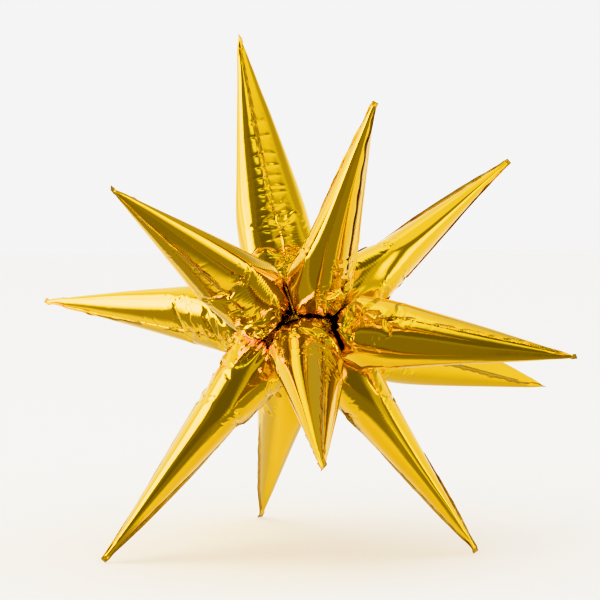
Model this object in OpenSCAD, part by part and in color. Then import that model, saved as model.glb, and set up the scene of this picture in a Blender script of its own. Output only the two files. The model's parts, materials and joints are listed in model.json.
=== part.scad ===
// Exploding-star foil balloon.
// Twelve equal foil cones, each welded from two film panels round its seam,
// stand out from one loop of cord that runs through the holes in their tails.
// The star rests on the tips of its three lower cones. The origin is the centre
// of the cord loop, and +Y points to the back.

/* [Star] */
// Height of the cord loop above the floor that the star stands on
loop_height = 261; // [200:1:300]
// Radius of the cord loop, to the middle of the cord
loop_r = 16; // [14:0.5:24]
// One row for each cone: azimuth and elevation of its axis in degrees, turn of its
// seam plane in degrees, and how far along the tail its neck sits from the hole.
// A cone with no elevation is one that the star stands on.
cones = [
    [128, 74, 152, 45],
    [-68, 52, 41, 29],
    [22, 36, 161, 8],
    [-32, -3, 38, 37],
    [32, -16, 94, 45],
    [-14, undef, 155, 16],
    [-86, -21, 139, 30],
    [103, undef, 78, 33],
    [-159, undef, 20, 39],
    [152, 3, 48, 29],
    [-134, 32, 27, 23],
    [89, 14, 93, 29]
];

/* [Cone] */
// Length of a cone from its neck to the end of its tip tab
cone_len = 305; // [240:1:360]
// Half angle of the long taper towards the tip
taper_angle = 11; // [8:0.1:14]
// Half angle of the flare out of the neck
flare_angle = 34; // [20:0.5:36]
// Radius that rounds the shoulder between flare and taper
shoulder_r = 70; // [30:1:90]
// Outer radius of the neck
neck_r = 3; // [2.4:0.1:5]
// Outer radius of the cone where its tip tab begins
tip_r = 2.4; // [1.6:0.1:4]

/* [Film] */
// Thickness of one film panel
film = 0.3; // [0.2:0.05:0.5]
// Width of the heat-sealed seam that stands out of the cone
seam_w = 5; // [3:0.5:8]
// Width of the seam where it starts at the neck
seam_neck_w = 1; // [0.5:0.1:3]
// Length of the flat tab that closes the tip
tab_len = 6; // [4:0.5:12]
// Width of the tip tab
tab_w = 9; // [6:0.5:14]

/* [Tail] */
// Width of the flat tail, which is rounded about its hole
tail_w = 13; // [8:0.5:16]
// Length of the flat tail from its hole to where it is gathered to a round stem
tail_flat = 6; // [5:0.5:12]
// Radius of the hole punched in the tail
hole_r = 2; // [1.5:0.1:3]
// Gap between the gathered stem and the inside of the neck
neck_gap = 0.4; // [0.2:0.05:0.8]
// Depth that the stem reaches into the cone
stem_depth = 5; // [3:0.5:12]

/* [Valve] */
// Length of the self-sealing valve inside the cone
valve_len = 40; // [20:1:80]
// Width of the valve
valve_w = 8; // [4:0.5:12]
// Thickness of the two valve films together
valve_t = 0.4; // [0.2:0.05:0.8]

/* [Tie] */
// Radius of the cord
cord_r = 0.8; // [0.4:0.1:1.2]
// Azimuth of the knot on the loop
knot_azimuth = -110; // [-180:1:180]
// Radius of the knot
knot_r = 2.4; // [1.6:0.1:3.2]
// Length of each cord end that stands out of the knot
cord_end = 8; // [4:0.5:16]
// Angle of the cord ends to the vertical
cord_end_lean = 25; // [0:5:45]

/* [Hidden] */
$fn = 64;

body_len = cone_len - tab_len; // from the neck to the tab
stem_r = neck_r - film - neck_gap;
arc_steps = 6; // chords along the shoulder

// The profile is two straight lines, the flare from the neck and the taper to the
// tip, with an arc between them. The lines cross at corner_z, corner_r.
corner_z = (tip_r - neck_r + body_len * tan(taper_angle)) / (tan(flare_angle) + tan(taper_angle));
corner_r = neck_r + corner_z * tan(flare_angle);
arc_tangent = shoulder_r * tan((flare_angle + taper_angle) / 2);
arc_start_z = corner_z - arc_tangent * cos(flare_angle);
arc_start_r = corner_r - arc_tangent * sin(flare_angle);
arc_z = arc_start_z + shoulder_r * sin(flare_angle);
arc_r = arc_start_r - shoulder_r * cos(flare_angle);

// Shoulder points as [radius, height], standing out by a distance.
function shoulder(out) = [
    for (i = [0 : arc_steps])
        let (a = 90 + flare_angle - (flare_angle + taper_angle) * i / arc_steps)
        [arc_r + (shoulder_r + out) * sin(a), arc_z + (shoulder_r + out) * cos(a)]
];

// Outside of the cone, from the neck to the tab.
function outside() = concat([[neck_r, 0]], shoulder(0), [[tip_r, body_len]]);

// Inside of the cone, one film further in and closed by one film at the tip.
function inside() = concat(
    [[neck_r - film, 0]], shoulder(-film), [[tip_r - film, body_len - film]]
);

// Edge of the seam, which widens from the neck to its full width at the shoulder.
function seam_edge() = concat(
    [[neck_r + seam_neck_w, 0]], shoulder(seam_w),
    [[tab_w / 2, body_len], [tab_w / 2, cone_len]]
);

function reversed(points) = [for (i = [len(points) - 1 : -1 : 0]) points[i]];
function mirrored(points) = [for (p = points) [-p[0], p[1]]];

// Reach of a cone's tip from its hole.
function reach(i) = cones[i][3] + cone_len;

// How far the corner of the tip tab hangs below the axis of a level cone.
function tab_drop(i) = tab_w / 2 * abs(cos(cones[i][2]));

// Downward angle that brings the lowest corner of the tab to the floor.
function standing_angle(i) =
    asin(loop_height / norm([reach(i), tab_drop(i)])) - atan(tab_drop(i) / reach(i));

function elevation(i) = is_undef(cones[i][1]) ? -standing_angle(i) : cones[i][1];

function number(i) = str(i < 9 ? "0" : "", i + 1);

gold = [0.90, 0.69, 0.13];
clear_film = [0.88, 0.89, 0.90];
white_cord = [0.93, 0.92, 0.88];

// Puts its children on a cone's axis, with the hole at the origin, +Z along the
// axis and Y along the cord.
module on_tail(i) {
    rotate([0, 0, cones[i][0]])
        translate([loop_r, 0, 0])
            rotate([0, 90 - elevation(i), 0])
                children();
}

// Puts its children at a cone's neck, with X across its seam.
module on_cone(i) {
    on_tail(i)
        translate([0, 0, cones[i][3]])
            rotate([0, 0, cones[i][2]])
                children();
}

// Half of the cone's skin, on the +Y side of the seam plane.
module half_skin() {
    rotate_extrude(angle = 180)
        polygon(concat(
            outside(), [[0, body_len], [0, body_len - film]], reversed(inside())
        ));
}

// One film's layer of the seam round both sides of the cone, with the tip tab.
module seam_layer() {
    translate([0, film, 0])
        rotate([90, 0, 0])
            linear_extrude(film)
                difference() {
                    polygon(concat(seam_edge(), reversed(mirrored(seam_edge()))));
                    polygon(concat(
                        [[neck_r - film, -film]], inside(),
                        reversed(mirrored(inside())), [[film - neck_r, -film]]
                    ));
                }
}

module panel() {
    half_skin();
    seam_layer();
}

module panel_front(i) {
    color(gold)
        on_cone(i)
            panel();
}

module panel_back(i) {
    color(gold)
        on_cone(i)
            mirror([0, 1, 0])
                panel();
}

// Both films of the tail, welded flat about the hole and gathered to a round stem.
module tail(i) {
    color(gold)
        on_tail(i) {
            translate([0, film, 0])
                rotate([90, 0, 0])
                    linear_extrude(2 * film)
                        difference() {
                            union() {
                                circle(r = tail_w / 2);
                                polygon([
                                    [-tail_w / 2, 0], [tail_w / 2, 0],
                                    [stem_r, tail_flat], [-stem_r, tail_flat]
                                ]);
                            }
                            circle(r = hole_r);
                        }
            translate([0, 0, tail_flat - stem_r])
                cylinder(r = stem_r, h = cones[i][3] + stem_depth - tail_flat + stem_r);
        }
}

// The flat inlet valve, which hangs from the stem inside the cone.
module valve(i) {
    color(clear_film)
        on_tail(i)
            translate([-valve_w / 2, -valve_t / 2, cones[i][3] + stem_depth])
                cube([valve_w, valve_t, valve_len]);
}

// The closed loop of cord through all the tails.
module tie_cord() {
    color(white_cord)
        rotate_extrude()
            translate([loop_r, 0])
                circle(r = cord_r);
}

// The knot that closes the loop, with its two cut ends. The loop runs through it.
module tie_knot() {
    color(white_cord)
        rotate([0, 0, knot_azimuth])
            translate([loop_r, 0, 0]) {
                sphere(r = knot_r);
                for (side = [0, 1])
                    mirror([0, 0, side])
                        rotate([0, cord_end_lean, 0])
                            cylinder(r = cord_r, h = knot_r + cord_end);
            }
}

for (i = [0 : len(cones) - 1]) {
    panel_front(i);
    panel_back(i);
    tail(i);
    valve(i);
}
tie_cord();
tie_knot();
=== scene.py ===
import json
import math

import bmesh
import bpy
import numpy as np
from mathutils import Matrix, Vector


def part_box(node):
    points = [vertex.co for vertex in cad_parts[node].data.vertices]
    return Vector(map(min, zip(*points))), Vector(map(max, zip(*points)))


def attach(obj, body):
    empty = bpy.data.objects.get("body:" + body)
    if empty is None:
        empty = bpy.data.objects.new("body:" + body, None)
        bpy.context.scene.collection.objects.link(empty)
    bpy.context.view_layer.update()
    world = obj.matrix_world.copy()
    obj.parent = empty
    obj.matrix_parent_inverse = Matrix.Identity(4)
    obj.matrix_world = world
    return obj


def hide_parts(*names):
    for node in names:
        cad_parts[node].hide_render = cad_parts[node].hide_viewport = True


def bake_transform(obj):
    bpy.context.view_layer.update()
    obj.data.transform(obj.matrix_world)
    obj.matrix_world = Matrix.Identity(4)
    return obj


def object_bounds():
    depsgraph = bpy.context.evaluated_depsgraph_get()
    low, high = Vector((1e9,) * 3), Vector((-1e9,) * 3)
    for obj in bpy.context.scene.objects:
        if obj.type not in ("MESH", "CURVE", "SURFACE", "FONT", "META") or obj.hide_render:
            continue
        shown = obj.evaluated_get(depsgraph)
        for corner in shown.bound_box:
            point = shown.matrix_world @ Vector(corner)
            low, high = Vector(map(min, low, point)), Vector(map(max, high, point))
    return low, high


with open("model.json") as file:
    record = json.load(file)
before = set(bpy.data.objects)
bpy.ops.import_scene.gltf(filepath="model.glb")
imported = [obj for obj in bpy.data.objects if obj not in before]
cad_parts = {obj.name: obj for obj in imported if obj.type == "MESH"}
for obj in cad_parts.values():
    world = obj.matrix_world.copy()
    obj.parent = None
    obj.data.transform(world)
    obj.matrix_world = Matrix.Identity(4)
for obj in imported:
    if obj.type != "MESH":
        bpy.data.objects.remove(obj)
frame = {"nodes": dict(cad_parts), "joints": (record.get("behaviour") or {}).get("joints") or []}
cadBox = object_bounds()
joints = {joint["name"]: joint for joint in frame["joints"]}
coneNumbers = ["%02d" % (i + 1) for i in range(12)]
floorHeight = cadBox[0][2]
mm = 0.001
print("frame loaded,", len(frame["nodes"]), "nodes")


# ---- studio: camera, floor, walls, soft lights

studio = {
    "cameraDistance": 3.593,    # from the cord loop, metres
    "cameraHeightAngle": 5.77,  # looking down, degrees
    "cameraRoll": -0.54,        # degrees
    "aimAbove": 0.0298,         # metres from the cord loop up to the aim
    "lens": 186.0,              # mm on a 36 mm sensor
    "wallColour": "#FFFFFF",
    "wallStrength": 1.2,
    "floorColour": "#FBFAF8",
    "floorRoughness": 0.9,
    "floorShine": 0.1,
    "floorSize": 9.0,           # metres
}


def toLinear(hexColour):
    # sRGB hex to linear light and full alpha: the standard curve, a straight foot and a 2.4 power
    rgb = [int(hexColour[i:i + 2], 16) / 255 for i in (1, 3, 5)]
    return (*(c / 12.92 if c <= 0.04045 else ((c + 0.055) / 1.055) ** 2.4 for c in rgb), 1)


def addNode(tree, kind, settings=None, links=None, at=(0, 0)):
    # one node: settings go to sockets (by name or number) or properties, links come in as
    # {input: (node, output)}
    node = tree.nodes.new(kind)
    node.location = at
    for key, value in (settings or {}).items():
        if isinstance(key, int) or key in node.inputs:
            node.inputs[key].default_value = value
        else:
            setattr(node, key, value)
    for key, (source, output) in (links or {}).items():
        tree.links.new(source.outputs[output], node.inputs[key])
    return node


def newMaterial(name, sockets):
    # a material whose shader has these constant values on its own sockets
    material = bpy.data.materials.new(name)
    material.use_nodes = True
    tree = material.node_tree
    shader = tree.nodes["Principled BSDF"]
    for key, value in sockets.items():
        shader.inputs[key].default_value = value
    return material, tree, shader


def addObject(name, data):
    piece = bpy.data.objects.new(name, data)
    bpy.context.scene.collection.objects.link(piece)
    return piece


def makeCamera():
    angle = math.radians(studio["cameraHeightAngle"])
    toCamera = Vector((0, -math.cos(angle), math.sin(angle)))
    data = bpy.data.cameras.new("camera")
    data.lens = studio["lens"]
    data.sensor_width = 36.0
    data.dof.use_dof = False
    data.clip_start = 0.05
    camera = addObject("camera", data)
    camera.location = toCamera * studio["cameraDistance"]
    up = Vector((0, math.sin(angle), math.cos(angle)))
    look = up * studio["aimAbove"] - camera.location
    turn = look.to_track_quat("-Z", "Y").to_matrix() @ Matrix.Rotation(
        math.radians(studio["cameraRoll"]), 3, "Z")
    camera.rotation_euler = turn.to_euler()
    bpy.context.scene.camera = camera


def makeFloor():
    # a sheet of paper, matt and pale
    half = studio["floorSize"] / 2
    mesh = bpy.data.meshes.new("studioFloor")
    corners = [(-half, -half), (half, -half), (half, half), (-half, half)]
    mesh.from_pydata([(x, y, floorHeight) for x, y in corners], [], [(0, 1, 2, 3)])
    material, tree, shader = newMaterial("mattPaperSweep", {
        "Roughness": studio["floorRoughness"], "Specular IOR Level": studio["floorShine"],
        "Base Color": toLinear(studio["floorColour"])})
    mesh.materials.append(material)
    addObject("studioFloor", mesh)


def gridFaces(index, flip=False):
    # quads between the neighbouring rows and columns of a grid of vertex numbers
    quads = np.stack([index[:-1, :-1], index[:-1, 1:], index[1:, 1:], index[1:, :-1]], -1)
    quads = quads.reshape(-1, 4)
    return quads[:, ::-1] if flip else quads


cards = {
    # what the shiny film mirrors: greys round the camera and lit silks at the sides, as patches
    # of a ball round the star. Azimuth from the front (left is negative), height angle,
    # brightness, the fade at the edges in degrees, and the cloth's colour
    "greyFront": ((-70, 24), (-60, 56), 0.27, (20, 16), "#FFEFDA"),
    "greyFrontHigh": ((-92, 8), (40, 84), 0.16, (16, 12), "#FFEFDA"),
    "greyFrontCore": ((-40, 18), (-14, 44), 0.16, (14, 12), "#FFEFDA"),
    "greyRight": ((4, 80), (-8, 50), 0.62, (16, 14), "#FFF6E8"),
    "greyRightStrip": ((36, 66), (-8, 46), 0.26, (9, 12), "#FFEFDA"),
    "greyRightLow": ((2, 70), (-60, -8), 0.34, (12, 10), "#FFEFDA"),
    "greyLeftLow": ((-118, -50), (-60, -14), 0.42, (14, 10), "#FFEFDA"),
    "greyBackRight": ((62, 182), (16, 86), 0.55, (24, 16), "#FFF6E8"),
    "greyBackLow": ((88, 250), (-60, -16), 0.8, (24, 14), "#FFF6E8"),
    "silkBackLeft": ((-166, -120), (4, 54), 1.7, (14, 14), "#F8FFF6"),
    "silkTopBack": ((-178, -100), (52, 84), 2.0, (16, 10), "#F8FFF6"),
    "silkLeft": ((-101, -55), (-22, 24), 9.0, (13, 13), "#F6FFF4"),
    "silkLeftHigh": ((-116, -56), (14, 44), 7.0, (13, 12), "#F6FFF4"),
    "silkFrontHigh": ((-24, 2), (38, 47), 1.6, (8, 4), "#F8FFF6"),
    "silkRight": ((20, 50), (12, 32), 3.2, (11, 9), "#F8FFF6"),
    "silkRightLow": ((54, 82), (-15, 21), 4.2, (12, 11), "#F8FFF6"),
    "silkLeftFar": ((-124, -98), (-6, 18), 3.0, (10, 10), "#F8FFF6"),
}
cardLayout = {
    "distance": 3.1,      # metres from the star to the outermost card
    "layerStep": 0.02,    # metres between one card and the next
    "floorGap": 2,        # mm from the floor up to the lowest card
    "steps": 61,
}
softLight = {"azimuth": -70, "height": 55, "distance": 2.6, "size": 2.2, "watts": 16}


def easeIn(x):
    # 3x^2 - 2x^3 between 0 and 1
    x = np.clip(x, 0, 1)
    return x * x * (3 - 2 * x)


def makeCard(name, layer, azimuths, heights, brightness, fades, colour):
    # a patch of a ball that glows evenly and fades to nothing towards its edges; what would
    # reach below the floor lies on it, so each ray ends at the ball or the floor
    a = np.linspace(*azimuths, cardLayout["steps"])[:, None]
    e = np.linspace(*heights, cardLayout["steps"])[None]
    fade = (easeIn((a - azimuths[0]) / fades[0]) * easeIn((azimuths[1] - a) / fades[0])
            * easeIn((heights[1] - e) / fades[1]) * easeIn((e - heights[0]) / fades[1]))
    ar, er = np.radians(a), np.radians(e)
    out = np.stack([np.sin(ar) * np.cos(er), -np.cos(ar) * np.cos(er), np.sin(er) + 0 * ar], -1)
    above = -floorHeight - (cardLayout["floorGap"] + layer) * mm
    reach = np.minimum(cardLayout["distance"] - cardLayout["layerStep"] * layer,
                       above / np.maximum(-out[..., 2], 1e-6))
    out = out * reach[..., None]
    mesh = bpy.data.meshes.new(name)
    index = np.arange(fade.size).reshape(fade.shape)
    mesh.from_pydata(out.reshape(-1, 3).tolist(), [], gridFaces(index).tolist())
    mesh.attributes.new("fade", "FLOAT", "POINT").data.foreach_set("value", fade.ravel())
    material, tree, shader = newMaterial("litSilk_" + name, {})    # plain cloth, lit from behind
    tree.nodes.remove(shader)
    glow = addNode(tree, "ShaderNodeEmission",
                   {"Strength": brightness, "Color": toLinear(colour)}, at=(-400, -100))
    clear = addNode(tree, "ShaderNodeBsdfTransparent", at=(-400, 100))
    fadeValue = addNode(tree, "ShaderNodeAttribute", {"attribute_name": "fade"}, at=(-400, 300))
    both = addNode(tree, "ShaderNodeMixShader", {},
                   {0: (fadeValue, "Fac"), 1: (clear, 0), 2: (glow, 0)}, (-150, 0))
    tree.links.new(both.outputs[0], tree.nodes["Material Output"].inputs["Surface"])
    material.cycles.emission_sampling = "NONE"
    mesh.materials.append(material)
    card = addObject(name, mesh)
    card.visible_camera = card.visible_diffuse = card.visible_shadow = False
    card.visible_transmission = False


def makeLights():
    for layer, (name, card) in enumerate(cards.items()):
        makeCard(name, layer, *card)
    light = bpy.data.lights.new("softLight", "AREA")
    light.size = softLight["size"]
    light.energy = softLight["watts"]
    lamp = addObject("softLight", light)
    a, e = math.radians(softLight["azimuth"]), math.radians(softLight["height"])
    out = Vector((math.sin(a) * math.cos(e), -math.cos(a) * math.cos(e), math.sin(e)))
    lamp.location = out * softLight["distance"]
    lamp.rotation_euler = out.to_track_quat("Z", "Y").to_euler()
    lamp.visible_glossy = False
    world = bpy.data.worlds.new("studioWalls")
    world.use_nodes = True
    back = world.node_tree.nodes["Background"]
    back.inputs["Color"].default_value = toLinear(studio["wallColour"])
    back.inputs["Strength"].default_value = studio["wallStrength"]
    bpy.context.scene.world = world
    # a film curve that keeps mid colours and lets bright gold pale to cream
    bpy.context.scene.view_settings.view_transform = "Khronos PBR Neutral"


makeCamera()
makeFloor()
makeLights()
print("studio ready")


# ---- materials

def bandsEvery(pitch):
    # a wave texture runs through 20 radians per unit of scale: the scale for one band per pitch
    return 2 * math.pi / 20 / pitch


goldFilm = {
    "tint": "#F6CB14",      # yellow lacquer over vapour-deposited aluminium
    "shade": "#F0C110",     # where the lacquer lies thicker
    "roughness": 0.07,
    "weldRoughness": 0.2,
    "weldShade": "#C99A12",  # painted shade: the weld is coloured a darker, browner gold than the film
    "coat": 0.5,
    "coatRoughness": 0.03,
    "patchSize": 60,        # mm, drift of the lacquer's thickness
    "rippleSize": 9,        # mm, slow ripple left by the film's own rolling
    "rippleRoughness": 0.45,
    "rippleDepth": 0.08,    # mm
    "weldPitch": 1.6,       # mm between the ribs that the sealing bar presses
    "weldDepth": 0.2,       # mm
    "weldStrength": 0.8,
}


def makeGoldFilm():
    # metallised PET film, rolled, vapour coated and lacquered: a near mirror with a clear gloss
    # over it, faintly rippled, and ribbed, duller and painted with shade along its heat-sealed weld
    g = goldFilm
    material, tree, shader = newMaterial("metallisedGoldFilm", {
        "Metallic": 1.0, "Coat Weight": g["coat"], "Coat Roughness": g["coatRoughness"]})
    coord = addNode(tree, "ShaderNodeTexCoord", at=(-1200, 0))
    patch = addNode(tree, "ShaderNodeTexNoise", {"Scale": 1 / (g["patchSize"] * mm), "Detail": 2.0},
                    {"Vector": (coord, "Object")}, (-1000, 200))
    tint = addNode(tree, "ShaderNodeMix",
                   {"data_type": "RGBA", 6: toLinear(g["tint"]), 7: toLinear(g["shade"])},
                   {0: (patch, "Fac")}, (-700, 200))
    weld = addNode(tree, "ShaderNodeAttribute", {"attribute_name": "weld"}, at=(-1000, -100))
    # painted shade: the weld mask mixes the film's colour towards a darker, browner gold
    weldShaded = addNode(tree, "ShaderNodeMix", {"data_type": "RGBA", 7: toLinear(g["weldShade"])},
                      {0: (weld, "Fac"), 6: (tint, 2)}, (-450, 200))
    tree.links.new(weldShaded.outputs[2], shader.inputs["Base Color"])
    rough = addNode(tree, "ShaderNodeMapRange",
                    {"To Min": g["roughness"], "To Max": g["weldRoughness"]},
                    {"Value": (weld, "Fac")}, (-700, -50))
    tree.links.new(rough.outputs[0], shader.inputs["Roughness"])
    ripple = addNode(tree, "ShaderNodeTexNoise",
                     {"Scale": 1 / (g["rippleSize"] * mm), "Detail": 3.0,
                      "Roughness": g["rippleRoughness"]},
                     {"Vector": (coord, "Object")}, (-1000, -300))
    along = addNode(tree, "ShaderNodeUVMap", {"uv_map": "filmMm"}, at=(-1200, -500))
    ribs = addNode(tree, "ShaderNodeTexWave",
                   {"wave_type": "BANDS", "bands_direction": "Y",
                    "Scale": bandsEvery(g["weldPitch"])},
                   {"Vector": (along, "UV")}, (-1000, -500))
    ribDepth = addNode(tree, "ShaderNodeMath", {"operation": "MULTIPLY"},
                       {0: (ribs, "Fac"), 1: (weld, "Fac")}, (-700, -450))
    rippleBump = addNode(tree, "ShaderNodeBump",
                         {"Strength": 1.0, "Distance": g["rippleDepth"] * mm},
                         {"Height": (ripple, "Fac")}, (-450, -250))
    weldBump = addNode(tree, "ShaderNodeBump",
                       {"Strength": g["weldStrength"], "Distance": g["weldDepth"] * mm},
                       {"Height": (ribDepth, 0), "Normal": (rippleBump, "Normal")}, (-250, -350))
    tree.links.new(weldBump.outputs["Normal"], shader.inputs["Normal"])
    return material


valveFilm = {
    "tint": "#E8ECEE",
    "roughness": 0.12,
    "ior": 1.57,
    "cover": 0.6,            # how much of what lies behind it hides
    "crinkleSize": 5,        # mm
    "crinkleDepth": 0.3,     # mm
    "crinkleStrength": 0.5,
}


def makeValveFilm():
    # clear PET film, extruded and folded flat: thin, glossy, with small crinkles
    v = valveFilm
    material, tree, shader = newMaterial("clearFilm", {
        "Base Color": toLinear(v["tint"]), "Roughness": v["roughness"], "IOR": v["ior"],
        "Alpha": v["cover"]})
    coord = addNode(tree, "ShaderNodeTexCoord", at=(-900, 0))
    crinkle = addNode(tree, "ShaderNodeTexVoronoi", {"Scale": 1 / (v["crinkleSize"] * mm)},
                      {"Vector": (coord, "Object")}, (-650, -100))
    bump = addNode(tree, "ShaderNodeBump",
                   {"Strength": v["crinkleStrength"], "Distance": v["crinkleDepth"] * mm},
                   {"Height": (crinkle, "Distance")}, (-350, -100))
    tree.links.new(bump.outputs["Normal"], shader.inputs["Normal"])
    return material


braidedCord = {
    "light": "#F2EEE2",
    "grooveShade": "#C9C2AE",       # painted shade between the bundles
    "roughness": 0.85,
    "fuzz": 0.3,
    "strand": 0.5,           # mm
    "strandDepth": 0.2,      # mm
    "strandStrength": 0.7,
    "unevenness": 1.5,
}


def makeBraidedCord():
    # white polyester cord, braided from fine bundles: soft, slightly hairy, with painted shade
    # between bundles
    b = braidedCord
    material, tree, shader = newMaterial("braidedPolyester", {
        "Roughness": b["roughness"], "Sheen Weight": b["fuzz"]})
    coord = addNode(tree, "ShaderNodeTexCoord", at=(-1100, 0))
    strands = addNode(tree, "ShaderNodeTexWave",
                      {"wave_type": "BANDS", "bands_direction": "DIAGONAL",
                       "Distortion": b["unevenness"], "Scale": bandsEvery(b["strand"] * mm)},
                      {"Vector": (coord, "Object")}, (-850, 0))
    # painted shade: the wave bands mix the cord's white towards a darker colour between the bundles
    tint = addNode(tree, "ShaderNodeMix",
                   {"data_type": "RGBA", 6: toLinear(b["grooveShade"]), 7: toLinear(b["light"])},
                   {0: (strands, "Fac")}, (-500, 100))
    bump = addNode(tree, "ShaderNodeBump",
                   {"Strength": b["strandStrength"], "Distance": b["strandDepth"] * mm},
                   {"Height": (strands, "Fac")}, (-500, -150))
    tree.links.new(tint.outputs[2], shader.inputs["Base Color"])
    tree.links.new(bump.outputs["Normal"], shader.inputs["Normal"])
    return material


goldFoil = makeGoldFilm()
clearFoil = makeValveFilm()
whiteCord = makeBraidedCord()
print("materials ready")


# ---- the cones' places, read from the frame

def nodePoints(name):
    mesh = frame["nodes"][name].data
    points = np.empty(len(mesh.vertices) * 3)
    mesh.vertices.foreach_get("co", points)
    return points.reshape(-1, 3)


def conePlace(number):
    # hole and outward axis come from the joints; the seam's plane lies between the two panels
    hole = np.array(joints["lean_" + number]["pos_m"])
    axis = np.array(joints["twist_" + number]["axis"])
    axis = axis / np.linalg.norm(axis)
    front = nodePoints("panel_front_" + number)
    back = nodePoints("panel_back_" + number)
    normal = front.mean(0) - back.mean(0)
    normal -= axis * (normal @ axis)
    normal /= np.linalg.norm(normal)
    along = (front - hole) @ axis
    return {"hole": hole, "axis": axis, "normal": normal, "across": np.cross(normal, axis),
            "neck": along.min(), "tip": along.max()}


places = {number: conePlace(number) for number in coneNumbers}
print("cone places read")


# ---- inflating the film: two flat panels welded at their edges, blown up by cloth simulation

inflation = {
    "length": 3.16,       # flat panel, in the cloth solver's units of 100 mm
    "neckWidth": 0.15,    # half widths of the flat panel: at the neck,
    "flareSlope": 1.45,   # growing from there per unit of length,
    "bellyWidth": 0.735,  # never more than this,
    "tipWidth": 0.035,    # and from this at the tip
    "taperSlope": 0.305,  # growing back towards the neck
    "cornerRound": 0.055,
    "weld": 0.05,         # width of the weld outside the panel
    "rows": 130,
    "columns": 41,
    "frames": 50,
    "seeds": (3, 8),
    "dome": 0.012,        # height of the low dome that the flat panels start from
    "domeWaves": 8,       # how many waves make it uneven,
    "frontUneven": 0.25,  # and by what share of its height
    "backUneven": 0.2,
}
clothSettings = {
    "vertex_group_pressure": "airSpace",
    "quality": 8,
    "mass": 0.3,
    "air_damping": 1.5,
    "tension_stiffness": 60,
    "compression_stiffness": 36,
    "shear_stiffness": 30,
    "bending_stiffness": 0.05,
    "tension_damping": 6,
    "compression_damping": 6,
    "shear_damping": 6,
    "bending_damping": 0.5,
    "use_pressure": True,
    "uniform_pressure_force": 6.0,
}


def flatHalfWidth(z):
    # smooth minimum, -k ln(sum of e^(-line / k)), of the flare, the belly and the taper
    s = inflation
    lines = np.stack([s["neckWidth"] + s["flareSlope"] * z, s["bellyWidth"] + 0 * z,
                      s["tipWidth"] + s["taperSlope"] * (s["length"] - z)])
    return -s["cornerRound"] * np.log(np.exp(-lines / s["cornerRound"]).sum(0))


def inflateCone(seed):
    # flat panels opened by a low dome with seeded unevenness; pressure then fills them while the
    # film keeps its length, which puckers the weld as real foil does
    s = inflation
    rows, columns = s["rows"], s["columns"]
    z = np.repeat(np.linspace(0, s["length"], rows)[:, None], columns, 1)
    u = np.linspace(-1, 1, columns)[None]
    width = flatHalfWidth(z[:, :1])
    x = width * u
    rng = np.random.default_rng(seed)
    uneven = sum(np.sin(z * rng.uniform(3, 16) + x * rng.uniform(-9, 9) + rng.uniform(0, 6))
                 for i in range(s["domeWaves"]))
    dome = s["dome"] * (1 - u ** 2)
    front = np.stack([x, dome * (1 + s["frontUneven"] * uneven), z], -1)
    back = np.stack([x, -dome * (1 - s["backUneven"] * uneven), z], -1)[:, 1:-1]
    edge = np.array([0.5, 1.0]) * s["weld"]
    left = np.stack([-width - edge, 0 * width + 0 * edge, z[:, :2]], -1)
    right = np.stack([width + edge, 0 * width + 0 * edge, z[:, :2]], -1)
    sheets = [front, back, left, right]
    starts = np.cumsum([0] + [sheet[..., 0].size for sheet in sheets])
    index = [starts[i] + np.arange(sheets[i][..., 0].size).reshape(rows, -1) for i in range(4)]
    frontIndex, leftIndex, rightIndex = index[0], index[2], index[3]
    backIndex = np.concatenate([frontIndex[:, :1], index[1], frontIndex[:, -1:]], 1)
    leftGrid = np.concatenate([leftIndex[:, ::-1], frontIndex[:, :1]], 1)
    rightGrid = np.concatenate([frontIndex[:, -1:], rightIndex], 1)
    faces = [gridFaces(frontIndex, True), gridFaces(backIndex), gridFaces(leftGrid, True),
             gridFaces(rightGrid, True)]
    faces = np.concatenate(faces).tolist()
    for row, flip in ((0, True), (rows - 1, False)):    # the air-tight ends
        end = np.stack([frontIndex[row, :-1], frontIndex[row, 1:],
                        backIndex[row, 1:], backIndex[row, :-1]], -1)
        faces += [tuple(dict.fromkeys(face)) for face in (end[:, ::-1] if flip else end).tolist()]
    mesh = bpy.data.meshes.new("flatPanels")
    mesh.from_pydata(np.concatenate([g.reshape(-1, 3) for g in sheets]).tolist(), [], faces)
    mesh.update()
    panels = addObject("flatPanels", mesh)
    airSpace = panels.vertex_groups.new(name="airSpace")    # no air pushes on the weld
    inside = np.concatenate([frontIndex[:, 1:-1].ravel(), index[1].ravel()])
    airSpace.add(inside.tolist(), 1, "ADD")
    cloth = panels.modifiers.new("inflate", "CLOTH")
    for key, value in clothSettings.items():
        setattr(cloth.settings, key, value)
    cloth.settings.effector_weights.gravity = 0
    cloth.collision_settings.use_collision = False
    cloth.collision_settings.use_self_collision = False
    cloth.point_cache.frame_start, cloth.point_cache.frame_end = 1, s["frames"]
    for step in range(1, s["frames"] + 1):
        bpy.context.scene.frame_set(step)
    blown = panels.evaluated_get(bpy.context.evaluated_depsgraph_get())
    points = np.empty(starts[-1] * 3)
    blown.data.vertices.foreach_get("co", points)
    points = points.reshape(-1, 3)
    bpy.data.objects.remove(panels)
    bpy.data.meshes.remove(mesh)
    bpy.context.scene.frame_set(1)
    return [points[np.concatenate([leftIndex[:, ::-1], panelIndex, rightIndex], 1)]
            for panelIndex in (frontIndex, backIndex)]


def finerSteps(coarse, where):
    # a matrix that carries values on a coarse row to finer places by a smooth cubic through them
    start = np.clip(np.floor(where).astype(int), 0, coarse - 2)
    t = where - start
    weights = np.stack([-t + 2 * t ** 2 - t ** 3, 2 - 5 * t ** 2 + 3 * t ** 3,
                        t + 4 * t ** 2 - 3 * t ** 3, -t ** 2 + t ** 3], 1) / 2
    matrix = np.zeros((len(where), coarse))
    for k in range(4):
        np.add.at(matrix, (np.arange(len(where)), np.clip(start + k - 1, 0, coarse - 1)),
                  weights[:, k])
    return matrix


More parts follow.
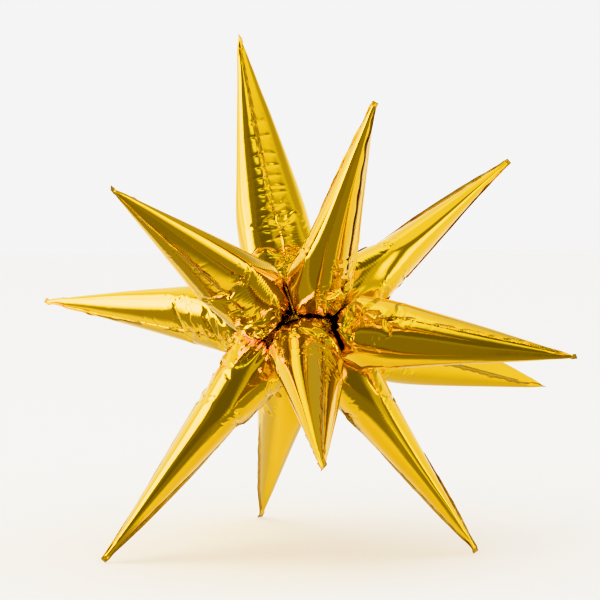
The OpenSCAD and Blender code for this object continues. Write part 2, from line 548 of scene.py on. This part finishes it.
blownCones = [inflateCone(seed) for seed in inflation["seeds"]]
print("film inflated")


# ---- film panels: each cone's two panels, put in place, gathered at the neck, pressed together

cone = {
    "fineTo": 232,          # mm from the neck that have the fine grid
    "fineStep": 1.0,        # mm between its rows, and beyond it
    "wideStep": 2.4,
    "columns": 49,
    "bellyRadius": 43.2,    # mm
    "start": 8,             # mm from the cord's hole to the film's gathered edge
    "neckRadius": 3.1,      # mm, clear of the tail's round stem
    "gatherLength": 26,     # mm over which the gathered neck opens
    "gatherPower": 0.45,    # under 1: it opens fast, then slowly
    "pleats": 24,
    "pleatDepth": 0.15,     # share of the radius
    "pleatReach": 2.6,      # gather lengths until they have died out,
    "pleatFade": 1.3,       # and the power with which they do
    "pressGap": 0.35,       # mm left on each side of a pressed face, next to the cord
    "pressOpening": 0.006,  # and how much more it is for each mm further out
    "pressSoftness": 1.3,   # mm, roundness of a pressed face's rim
    "pressAngle": 100,      # degrees, neighbours closer than this press
    "film": 0.06,           # mm
    "filmApart": 0.09,      # mm from the middle of the weld to each film
    "weldPlay": 1.3,        # mm that the free edge of the weld wanders
    "weldNeck": 45,         # mm over which the weld widens from the neck,
    "weldNeckShare": 0.25,  # from this share of its width
    "weldTip": 60,          # mm over which it narrows to the tab,
    "weldTipShare": 0.5,    # to this share
    "tabLength": 6,         # mm, the flat end beyond the air space
    "tabWidth": 7,
    "twistStart": 25,       # mm from the hole
    "twistEnd": 120,
}
ridges = {
    "pitch": 3.6,           # mm between the fine cross ridges
    "patches": 6,
    "heights": (50, 130),   # mm from the hole to a patch's middle
    "spreads": (10, 24),    # mm along the cone
    "turns": (-1.1, 1.1),   # radians from the side that faces the front
    "widths": (0.25, 0.5),  # radians
}
creaseShape = {
    "firstAt": (34, 42),    # mm from the hole
    "spacing": (8, 21),     # mm from one crease to the next
    "lean": (-0.25, 0.25),  # mm along the cone for each mm from the weld
    "depths": (0.4, 1.1),   # share of the cone's own depth
    "valley": 1.1,          # mm, half of its width
    "reachFade": 0.55,      # share by which reach and depth shrink up to the last crease
    "depthFade": 0.5,
}
# for each cone: which blown film it copies, panels swapped, sides swapped, height in mm of its
# cross ridges, and how far its tab curls
variants = {"01": (0, 0, 0, 0.085, 0), "02": (1, 0, 1, 0.03, 2.6), "03": (1, 1, 0, 0.03, 1.2),
            "04": (0, 1, 1, 0.03, 0.6), "05": (1, 0, 0, 0.03, 0.3), "06": (0, 0, 1, 0.03, -1.4),
            "07": (1, 1, 1, 0.03, 0.5), "08": (0, 1, 0, 0.04, 0), "09": (1, 0, 0, 0.03, -0.8),
            "10": (0, 1, 1, 0.085, 0), "11": (1, 1, 0, 0.085, 0), "12": (0, 0, 1, 0.03, 0.7)}
# creases square to the weld, in mm: depth, how far up the cone they end, and their reach
creases = {"01": (1.7, 245, (14, 26)), "10": (1.4, 190, (10, 24)), "11": (1.4, 190, (10, 24)),
           "09": (1.3, 170, (6, 18)), "07": (1.2, 170, (6, 18)), "04": (1.2, 150, (10, 26)),
           "other": (0.9, 150, (6, 16))}


def settle(number, front, back):
    # into the cone's own axes, in metres: z runs from the cord's hole, x across the seam
    place = places[number]
    blown = np.stack([front, back])
    inner = blown[:, :, 2:-2]
    rounding = 2 * cone["bellyRadius"] * mm / (inner.max((0, 1, 2)) - inner.min((0, 1, 2)))[:2]
    low, high = blown[..., 2].min(), blown[:, -1, :, 2].mean()
    begin, end = cone["start"] * mm, place["tip"] - cone["tabLength"] * mm
    blown = blown * (*rounding, 1)
    blown[..., 2] = begin + (blown[..., 2] - low) * (end - begin) / (high - low)
    return blown


def trimWeld(blown):
    # the weld is full width along the cone, and narrows into the gathered neck and the tab
    z = blown[0, :, 2, 2] / mm
    neckShare, tipShare = cone["weldNeckShare"], cone["weldTipShare"]
    narrow = ((neckShare + (1 - neckShare) * easeIn((z - cone["start"]) / cone["weldNeck"]))
              * (1 - (1 - tipShare) * easeIn((z - z[-1] + cone["weldTip"]) / cone["weldTip"])))
    for edge, free in ((2, (0, 1)), (-3, (-1, -2))):
        for column in free:
            out = blown[:, :, column] - blown[:, :, edge]
            blown[:, :, column] = blown[:, :, edge] + out * narrow[None, :, None]
    return blown


def widen(blown, grow):
    # scaled away from the cone's axis
    return blown * np.stack([grow, grow, 1 + 0 * grow], -1)


def gather(blown, rng):
    # near the neck the film is drawn in to the stem, in pleats that die out up the cone
    up = np.clip((blown[..., 2] / mm - cone["start"]) / cone["gatherLength"], 0, 1)
    radius = np.hypot(blown[..., 0], blown[..., 1])
    turn = np.arctan2(blown[..., 1], blown[..., 0])
    shift = rng.uniform(0, 6.28)
    fold = np.abs(np.sin(cone["pleats"] / 2 * turn + shift + 1.4 * np.sin(2 * turn + shift)))
    further = np.clip((blown[..., 2] / mm - cone["start"])
                      / (cone["pleatReach"] * cone["gatherLength"]), 0, 1)
    pleat = (cone["pleatDepth"] * (1 - further) ** cone["pleatFade"]
             * (fold - 0.6) * np.clip(up * 6, 0.1, 1))
    neck = cone["neckRadius"] * mm
    opened = neck + (radius - neck) * up ** cone["gatherPower"]
    opened = np.where(radius > neck, opened, radius + (neck - radius) * (1 - up)) * (1 + pleat)
    grow = np.maximum(opened, neck * 0.98) / np.maximum(radius, 1e-6)
    return widen(blown, np.where(up < 1, grow, 1 + pleat))


def crossRidges(blown, height, facing, rng):
    # fine cross ridges: a sine along the cone, kept to a few patches round its fat third, each
    # near the side that faces the front and again opposite
    z = blown[..., 2] / mm
    turn = np.arctan2(blown[..., 1], blown[..., 0])
    amount = 0
    for i in range(ridges["patches"]):
        centre, spread = rng.uniform(*ridges["heights"]), rng.uniform(*ridges["spreads"])
        angle, width = facing + rng.uniform(*ridges["turns"]), rng.uniform(*ridges["widths"])
        away = np.abs((turn - angle + math.pi / 2) % math.pi - math.pi / 2)
        patch = np.exp(-((z - centre) / spread) ** 2 - (away / width) ** 2)
        amount = amount + patch * np.sin(2 * math.pi * z / ridges["pitch"] + rng.uniform(0, 6))
    radius = np.maximum(np.hypot(blown[..., 0], blown[..., 1]), 1 * mm)
    return widen(blown, 1 + height * mm * amount / radius)


def weldCreases(blown, number, rng):
    # short creases square to the weld, where it is longer than the swollen film: sharp valleys
    # e^(-|distance along|) that die out as e^(-(distance from the weld / reach)^2)
    c = creaseShape
    strength, top, reaches = creases.get(number, creases["other"])
    x, y, z = blown[..., 0] / mm, blown[..., 1] / mm, blown[..., 2] / mm
    radius = np.maximum(np.hypot(x, y), 1)
    valley = 0
    for side in (-1, 1):
        at = rng.uniform(*c["firstAt"])
        while at < top:
            reach = rng.uniform(*reaches, 2) * (1 - c["reachFade"] * at / top)
            lean = rng.uniform(*c["lean"])
            depth = strength * rng.uniform(*c["depths"]) * (1 - c["depthFade"] * at / top)
            away = np.abs(z - at - lean * np.abs(y))
            reachHere = np.where(y > 0, *reach)
            valley = valley + (depth * np.exp(-away / c["valley"])
                               * np.exp(-(y / reachHere) ** 2) * (x * side > 0))
            at += rng.uniform(*c["spacing"])
    return widen(blown, 1 - valley / radius)


def addTab(blown, curl):
    # beyond the air space both films run on flat, and the end curls by a square law
    last = blown[:, -1:]
    t = np.array([0.12, 0.3, 0.5, 0.75, 1.0])[None, :, None]
    across = np.linspace(-1, 1, blown.shape[2])[None, None] * cone["tabWidth"] / 2 * mm
    flat = easeIn(t * 1.4)
    x = last[..., 0] * (1 - flat) + across * flat
    y = last[..., 1] * (1 - flat) + curl * mm * t ** 2
    z = last[..., 2].mean() + t * cone["tabLength"] * mm * (1 - 0.04 * abs(curl)) + 0 * x
    return np.concatenate([blown, np.stack([x, y, z], -1)], 1)


def press(number, points):
    # a cone and its neighbour meet on the plane halfway between their axes: film that would
    # pass it is pushed back by a smooth ramp, ln(1 + e^past), and the gap opens outwards
    here = places[number]
    for other in coneNumbers:
        there = places[other]
        if other == number or (here["axis"] @ there["axis"]
                               < math.cos(math.radians(cone["pressAngle"]))):
            continue
        normal = there["axis"] - here["axis"]
        normal /= np.linalg.norm(normal)
        outwards = np.clip((points - here["hole"]) @ here["axis"], 0, None)
        gap = cone["pressGap"] * mm + cone["pressOpening"] * outwards
        past = (points - (here["hole"] + there["hole"]) / 2) @ normal + gap
        soft = cone["pressSoftness"] * mm
        points = points - normal * (soft * np.logaddexp(0, past / soft))[..., None]
    return points


def surfacePiece(name, grids, wall=0.0, attributes=None, closePoles=False):
    # grids of points become one smooth mesh, with a map in millimetres along rows and columns
    mesh = bpy.data.meshes.new(name)
    points, faces, uvs, start = [], [], [], 0
    for grid, closed, flip in grids:
        rows, columns = grid.shape[:2]
        index = start + np.arange(rows * columns).reshape(rows, columns)
        if closed:
            index = np.concatenate([index, index[:, :1]], 1)
        faces.append(gridFaces(index, flip))
        along = np.linalg.norm(np.diff(grid, axis=0, prepend=grid[:1]), axis=2).cumsum(0) / mm
        across = np.linalg.norm(np.diff(grid, axis=1, prepend=grid[:, :1]), axis=2).cumsum(1) / mm
        points.append(grid.reshape(-1, 3))
        uvs.append(np.stack([across.ravel(), along.ravel()], 1))
        start += rows * columns
    mesh.from_pydata(np.concatenate(points).tolist(), [], np.concatenate(faces).tolist())
    corner = np.empty(len(mesh.loops), int)
    mesh.loops.foreach_get("vertex_index", corner)
    mesh.uv_layers.new(name="filmMm").data.foreach_set("uv", np.concatenate(uvs)[corner].ravel())
    for key, values in (attributes or {}).items():
        mesh.attributes.new(key, "FLOAT", "POINT").data.foreach_set("value", values.ravel())
    if closePoles:
        joined = bmesh.new()
        joined.from_mesh(mesh)
        bmesh.ops.remove_doubles(joined, verts=joined.verts, dist=1e-7)
        joined.to_mesh(mesh)
        joined.free()
    mesh.shade_smooth()
    mesh.update()
    piece = addObject(name, mesh)
    if wall:
        solid = piece.modifiers.new("wall", "SOLIDIFY")
        solid.thickness = wall * mm
        solid.offset = -1
    return piece


def makeCone(number):
    source, swapPanels, swapSides, ridgeHeight, curl = variants[number]
    front, back = blownCones[source]
    if swapPanels:
        front, back = back * (1, -1, 1), front * (1, -1, 1)
    if swapSides:
        front, back = front[:, ::-1] * (-1, 1, 1), back[:, ::-1] * (-1, 1, 1)
    rng = np.random.default_rng(100 + int(number))
    length = places[number]["tip"] / mm - cone["start"]
    heights = np.concatenate([np.arange(0, cone["fineTo"], cone["fineStep"]),
                              np.arange(cone["fineTo"], length, cone["wideStep"]), [length]])
    rowSteps = (inflation["rows"] - 1) * heights / length
    inner = inflation["columns"] - 1
    columnSteps = np.concatenate([[0, 1], 2 + np.linspace(0, inner, cone["columns"]),
                                  [3 + inner, 4 + inner]])
    rowMatrix = finerSteps(inflation["rows"], rowSteps)
    columnMatrix = finerSteps(inflation["columns"] + 4, columnSteps)
    blown = trimWeld(settle(number, front, back))
    blown = np.einsum("rk,pkcx,dc->prdx", rowMatrix, blown, columnMatrix)
    blown = weldCreases(blown, number, rng)
    place = places[number]
    facing = math.atan2(-place["normal"][1], -place["across"][1])
    blown = crossRidges(gather(blown, rng), ridgeHeight, facing, rng)
    edge = np.zeros(blown.shape[2])
    edge[[0, 1, 2, -3, -2, -1]] = 1, 0.5, 0, 0, 0.5, 1
    z = blown[0, :, 2, 2] / mm
    wander = sum(np.sin(z / rng.uniform(2.2, 9) + rng.uniform(0, 6)) for i in range(5)) / 2.5
    blown[..., 1] += (cone["weldPlay"] * mm * wander)[None, :, None] * edge
    blown = addTab(blown, curl)
    welded = np.clip(edge * 2, 0, 1)
    apart = cone["filmApart"] * mm
    for side, away in ((0, apart), (1, -apart)):    # in the weld and the tab they lie side by side
        blown[side, ..., 1] += away * welded
        blown[side, -5:, :, 1] += away
    weld = np.repeat(welded[None], blown.shape[1], 0)
    weld[-4:] = 1
    turn = np.stack([place["across"], place["normal"], place["axis"]])
    for side, name in enumerate(("front_", "back_")):
        points = press(number, place["hole"] + blown[side] @ turn)
        piece = surfacePiece("film_" + name + number, [(points, False, side == 0)],
                             cone["film"], {"weld": weld})
        piece.data.materials.append(goldFoil)
        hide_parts("panel_" + name + number)
        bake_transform(piece)


for number in coneNumbers:
    makeCone(number)
print("film panels made")


# ---- tails: the cone's film welded flat round the cord's hole, then gathered to a round stem

tail = {
    "holeRadius": 2.0,      # mm
    "halfWidth": 6.4,
    "thickness": 0.55,
    "rippleSlope": 0.055,   # mm of ripple for each mm from the hole's edge
    "gatherFrom": 2.3,      # mm from the hole's middle
    "gatherHalfWidth": 5.6,
    "gatherHalfThick": 0.3,
    "stemRadius": 2.55,     # just inside the cone's gathered neck
    "roundFrom": 9,         # mm from the hole where the gather is fully round
    "creases": 9,
    "creaseDepth": 0.07,
    "valveDepth": 5,        # mm that the stem goes on inside the neck, to the valve
}


def tailAxes(number):
    # out along the cone, along the cord, and across the flat of the tail
    out = places[number]["axis"]
    alongCord = -np.array(joints["lean_" + number]["axis"])
    alongCord /= np.linalg.norm(alongCord)
    return np.cross(alongCord, out), alongCord, out


def makeTail(number):
    t, place = tail, places[number]
    across, alongCord, out = tailAxes(number)
    rng = np.random.default_rng(300 + int(number))
    shift = rng.uniform(0, 6.28, 3)
    # flat of the tail: circles round the hole, rippled like sin(3 turns) towards the free edge
    turn = np.linspace(0, 2 * math.pi, 48, endpoint=False)[None]
    radius = np.linspace(t["holeRadius"], t["halfWidth"], 7)[:, None]
    rise = t["rippleSlope"] * (radius - t["holeRadius"]) * np.sin(3 * turn + shift[0])
    flat = np.stack([radius * np.cos(turn), rise, radius * np.sin(turn)], -1)
    # gather: an ellipse that goes from flat and wide to round, with creases |sin(9/2 turns)|
    s = np.linspace(t["gatherFrom"], place["neck"] / mm + t["valveDepth"], 60)[:, None]
    rounding = easeIn((s - t["gatherFrom"]) / (t["roundFrom"] - t["gatherFrom"]))
    folds = np.abs(np.sin(t["creases"] / 2 * turn + shift[1] + 0.03 * s))
    crease = 1 - t["creaseDepth"] * folds * rounding
    wide, thick = t["gatherHalfWidth"], t["gatherHalfThick"]
    halfWide = (wide + (t["stemRadius"] - wide) * rounding) * crease
    halfThick = (thick + (t["stemRadius"] - thick) * rounding) * crease
    stem = np.stack([halfWide * np.cos(turn), halfThick * np.sin(turn), s + 0 * turn], -1)
    stem = np.concatenate([stem[[0]] * (0, 0, 1), stem, stem[[-1]] * (0, 0, 1)])
    thin = t["thickness"] / 2
    above, below = flat + (0, thin, 0), flat - (0, thin, 0)
    ring = np.concatenate([above, below[::-1], above[:1]])
    turnTo = np.stack([across, alongCord, out])
    ring, stem = (place["hole"] + grid * mm @ turnTo for grid in (ring, stem))
    piece = surfacePiece("tail_film_" + number, [(ring, True, True), (stem, True, False)],
                         closePoles=True)
    piece.data.materials.append(goldFoil)
    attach(piece, "tail_body_" + number)
    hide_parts("tail_" + number)


valve = {
    "width": 7.8,           # mm
    "length": 40,
    "thickness": 0.3,
    "crinkle": 0.25,
    "edgePower": 0.6,       # under 1: the section is flatter than an ellipse
}


def makeValve(number):
    # a flat sleeve of clear film: a thin box section whose middle lies on a slow crinkle wave
    v, place = valve, places[number]
    across, alongCord, out = tailAxes(number)
    rng = np.random.default_rng(500 + int(number))
    around = np.linspace(0, 2 * math.pi, 28, endpoint=False)[None]
    s = np.linspace(0, v["length"], 60)[:, None]
    cosine = np.cos(around)
    x = v["width"] / 2 * np.sign(cosine) * np.abs(cosine) ** v["edgePower"] + 0 * s
    wave = sum(np.sin(s / rng.uniform(2.5, 7) + x * rng.uniform(-0.5, 0.5) + rng.uniform(0, 6))
               for i in range(4)) * v["crinkle"] / 4
    y = v["thickness"] / 2 * np.sin(around) + wave
    sleeve = np.stack([x, y, s + 0 * x], -1)
    first, last = sleeve[[0]].mean(1, keepdims=True), sleeve[[-1]].mean(1, keepdims=True)
    sleeve = np.concatenate([first + 0 * sleeve[[0]], sleeve, last + 0 * sleeve[[-1]]])
    base = place["hole"] + out * (place["neck"] + tail["valveDepth"] * mm)
    points = base + sleeve * mm @ np.stack([across, alongCord, out])
    piece = surfacePiece("valve_film_" + number, [(points, True, False)], closePoles=True)
    piece.data.materials.append(clearFoil)
    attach(piece, "tail_body_" + number)
    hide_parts("valve_" + number)


for number in coneNumbers:
    makeTail(number)
    makeValve(number)
print("tails and valves made")


# ---- tie: a loop of braided cord through all the tails, closed by a wrapped knot

tie = {
    "cordRadius": 0.8,      # mm
    "braidDepth": 0.1,      # mm
    "strands": 3,
    "braidPitch": 1.7,      # mm along the cord
    "loopPoints": 700,
    "sides": 24,
    "knotPoints": 260,
    "knotTurns": 2,         # whole turns between the two ends
    "knotWidth": 1.9,       # mm, half of the wrapped length along the loop
    "knotRadius": 1.75,     # mm from the loop's middle to the wrapping cord's
    "wrapShare": 0.6,       # share of the knot's cord that winds and steps along
    "endFrom": 0.42,        # share of it after which an end runs outwards
    "endPower": 1.4,
    "endLength": 10.4,      # mm from the middle of the knot to the cut ends
    "endLean": 25,          # degrees outwards
}


def braidedTube(path, closed, steady):
    # carried along the path: radius is the cord's less a groove where neither of two opposite
    # spirals of strands, |sin(strands turns +- length)|, stands high; steady is a direction that
    # the ring is turned by
    t = tie
    if closed:
        ahead, behind = np.roll(path, -1, 0), np.roll(path, 1, 0)
        tangent = ahead - behind
    else:
        tangent = np.gradient(path, axis=0)
    tangent /= np.linalg.norm(tangent, axis=1)[:, None]
    side = steady - (tangent @ steady)[:, None] * tangent
    side /= np.linalg.norm(side, axis=1)[:, None]
    other = np.cross(tangent, side)
    length = np.linalg.norm(np.diff(path, axis=0, prepend=path[:1]), axis=1).cumsum() / mm
    turns = max(1, round(length[-1] / t["braidPitch"]))
    phase = math.pi * turns * length[:, None] / length[-1]
    around = np.linspace(0, 2 * math.pi, t["sides"], endpoint=False)[None]
    strands = np.maximum(np.abs(np.sin(t["strands"] * around + phase)),
                         np.abs(np.sin(t["strands"] * around - phase)))
    radius = (t["cordRadius"] - t["braidDepth"] * (1 - strands)) * mm
    ring = np.cos(around)[..., None] * side[:, None] + np.sin(around)[..., None] * other[:, None]
    tube = path[:, None] + radius[..., None] * ring
    if closed:
        return np.concatenate([tube, tube[:1]])
    ends = [path[[i]][:, None] + 0 * tube[[i]] for i in (0, -1)]
    return np.concatenate([ends[0], tube, ends[1]])


def makeTie():
    t, up = tie, np.array([0.0, 0.0, 1.0])
    low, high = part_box("tie_cord")
    loopRadius = (high[0] - low[0]) / 2 - t["cordRadius"] * mm
    angle = np.linspace(0, 2 * math.pi, t["loopPoints"], endpoint=False)
    loop = loopRadius * np.stack([np.cos(angle), np.sin(angle), 0 * angle], -1)
    knotLow, knotHigh = (np.array(corner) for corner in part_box("tie_knot"))
    middle = (knotLow + knotHigh) / 2
    azimuth = math.atan2(middle[1], middle[0])
    radial = np.array([math.cos(azimuth), math.sin(azimuth), 0])
    along = np.array([-math.sin(azimuth), math.cos(azimuth), 0])
    # the knot winds round the loop: its distance from it falls from the end's length to two
    # cord radii and grows again, while it turns and steps along
    u = np.linspace(-1, 1, t["knotPoints"])
    out = easeIn((np.abs(u) - t["endFrom"]) / (1 - t["endFrom"]))
    away = t["knotRadius"] + (t["endLength"] - t["knotRadius"]) * out ** t["endPower"]
    inner = np.clip(u / t["wrapShare"], -1, 1)
    turn = -inner * (math.radians(90 - t["endLean"]) + math.pi * t["knotTurns"])
    step = t["knotWidth"] * inner * (1 - 0.4 * out)
    path = (radial * loopRadius + along * (step * mm)[:, None]
            + (radial * np.cos(turn)[:, None] + up * np.sin(turn)[:, None])
            * (away * mm)[:, None])
    for name, node, tube in (("braided_cord", "tie_cord", braidedTube(loop, True, up)),
                             ("wrapped_knot", "tie_knot", braidedTube(path, False, along))):
        piece = surfacePiece(name, [(tube, True, False)], closePoles=True)
        piece.data.materials.append(whiteCord)
        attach(piece, "tie")
        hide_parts(node)


makeTie()
print("tie made")
